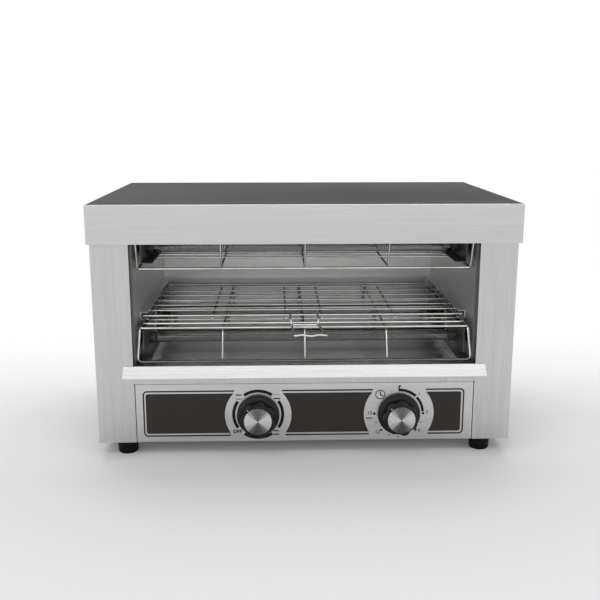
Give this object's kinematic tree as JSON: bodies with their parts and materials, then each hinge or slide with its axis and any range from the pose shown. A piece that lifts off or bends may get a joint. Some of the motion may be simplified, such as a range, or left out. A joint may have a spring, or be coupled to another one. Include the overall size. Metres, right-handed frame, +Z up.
{
  "type": "quartz toaster",
  "caption": "Counter-top quartz toaster with a sliding wire rack between guarded heating tubes, a crumb tray, a heat selector and a timer.",
  "frame": {"origin": "on the surface the feet stand on, under the middle of the overall length and depth", "axes": "+X to the right seen from the front, the open front faces -Y, +Z up"},
  "size_m": [0.4798, 0.3264, 0.2926],
  "materials": {
    "hood_steel": "horizontally brushed stainless steel",
    "front_steel": "vertically brushed stainless steel",
    "case_steel": "brushed stainless steel",
    "panel_steel": "brushed stainless steel with a printed dark field",
    "liner_steel": "mill-finish stainless steel, lightly heat-tinted",
    "wire_chrome": "polished stainless wire",
    "tray_steel": "smooth stainless steel",
    "guard_wire": "polished stainless wire, lightly heat-tinted",
    "quartz": "clear fused quartz",
    "ceramic": "white glazed steatite ceramic",
    "coil_wire": "dull resistance wire",
    "knob_black": "fine-grained black moulding",
    "cap_aluminium": "circular-brushed aluminium",
    "shaft_steel": "turned steel",
    "switch_black": "matt moulded housing",
    "timer_steel": "zinc-plated steel",
    "stud_brass": "plain brass",
    "gland_black": "matt nylon",
    "foot_rubber": "matt black rubber",
    "screw_steel": "bright stainless screws"
  },
  "bodies": {
    "cabinet": {"hood": "hood_steel", "front_frame": "front_steel", "back_panel": "case_steel", "base_plate": "case_steel", "control_panel": "panel_steel", "liner_back": "liner_steel", "liner_roof": "liner_steel", "heat_shield": "liner_steel", "side_panel_left": "case_steel", "side_panel_right": "case_steel", "liner_side_left": "liner_steel", "liner_side_right": "liner_steel", "rack_rail_left": "liner_steel", "rack_rail_right": "liner_steel", "tray_runner_left": "liner_steel", "tray_runner_right": "liner_steel", "lower_front_guard": "guard_wire", "lower_rear_guard": "guard_wire", "upper_front_guard": "guard_wire", "upper_rear_guard": "guard_wire", "lower_front_tube": "quartz", "lower_rear_tube": "quartz", "upper_front_tube": "quartz", "upper_rear_tube": "quartz", "tube_brackets_lower_left": "liner_steel", "tube_brackets_lower_right": "liner_steel", "tube_brackets_upper_left": "liner_steel", "tube_brackets_upper_right": "liner_steel", "tube_caps": "ceramic", "heating_coils": "coil_wire", "selector_switch": "switch_black", "timer_body": "timer_steel", "terminal_block": "ceramic", "earth_stud": "stud_brass", "cable_gland": "gland_black", "gland_nut": "gland_black", "front_left_foot": "foot_rubber", "front_right_foot": "foot_rubber", "rear_left_foot": "foot_rubber", "rear_right_foot": "foot_rubber", "hood_screws": "screw_steel", "back_screws": "screw_steel", "foot_screws": "screw_steel"},
    "rack_body": {"rack": "wire_chrome", "rack_handle": "wire_chrome"},
    "tray": {"crumb_tray": "tray_steel"},
    "selector": {"selector_knob": "knob_black", "selector_cap": "cap_aluminium", "selector_shaft": "shaft_steel"},
    "timer": {"timer_knob": "knob_black", "timer_cap": "cap_aluminium", "timer_shaft": "shaft_steel"}
  },
  "joints": [
    {"name": "rack_slide", "type": "slide", "parent": "cabinet", "child": "rack_body", "axis": [0, -1, 0], "range_m": [0, 0.15]},
    {"name": "tray_slide", "type": "slide", "parent": "cabinet", "child": "tray", "axis": [0, -1, 0], "range_m": [0, 0.24]},
    {"name": "selector_turn", "type": "hinge", "parent": "cabinet", "child": "selector", "pos_m": [-0.054, 0, 0.05], "axis": [0, 1, 0], "range_deg": [-93, 177]},
    {"name": "timer_turn", "type": "hinge", "parent": "cabinet", "child": "timer", "pos_m": [0.108, 0, 0.05], "axis": [0, 1, 0], "range_deg": [0, 312]}
  ]
}
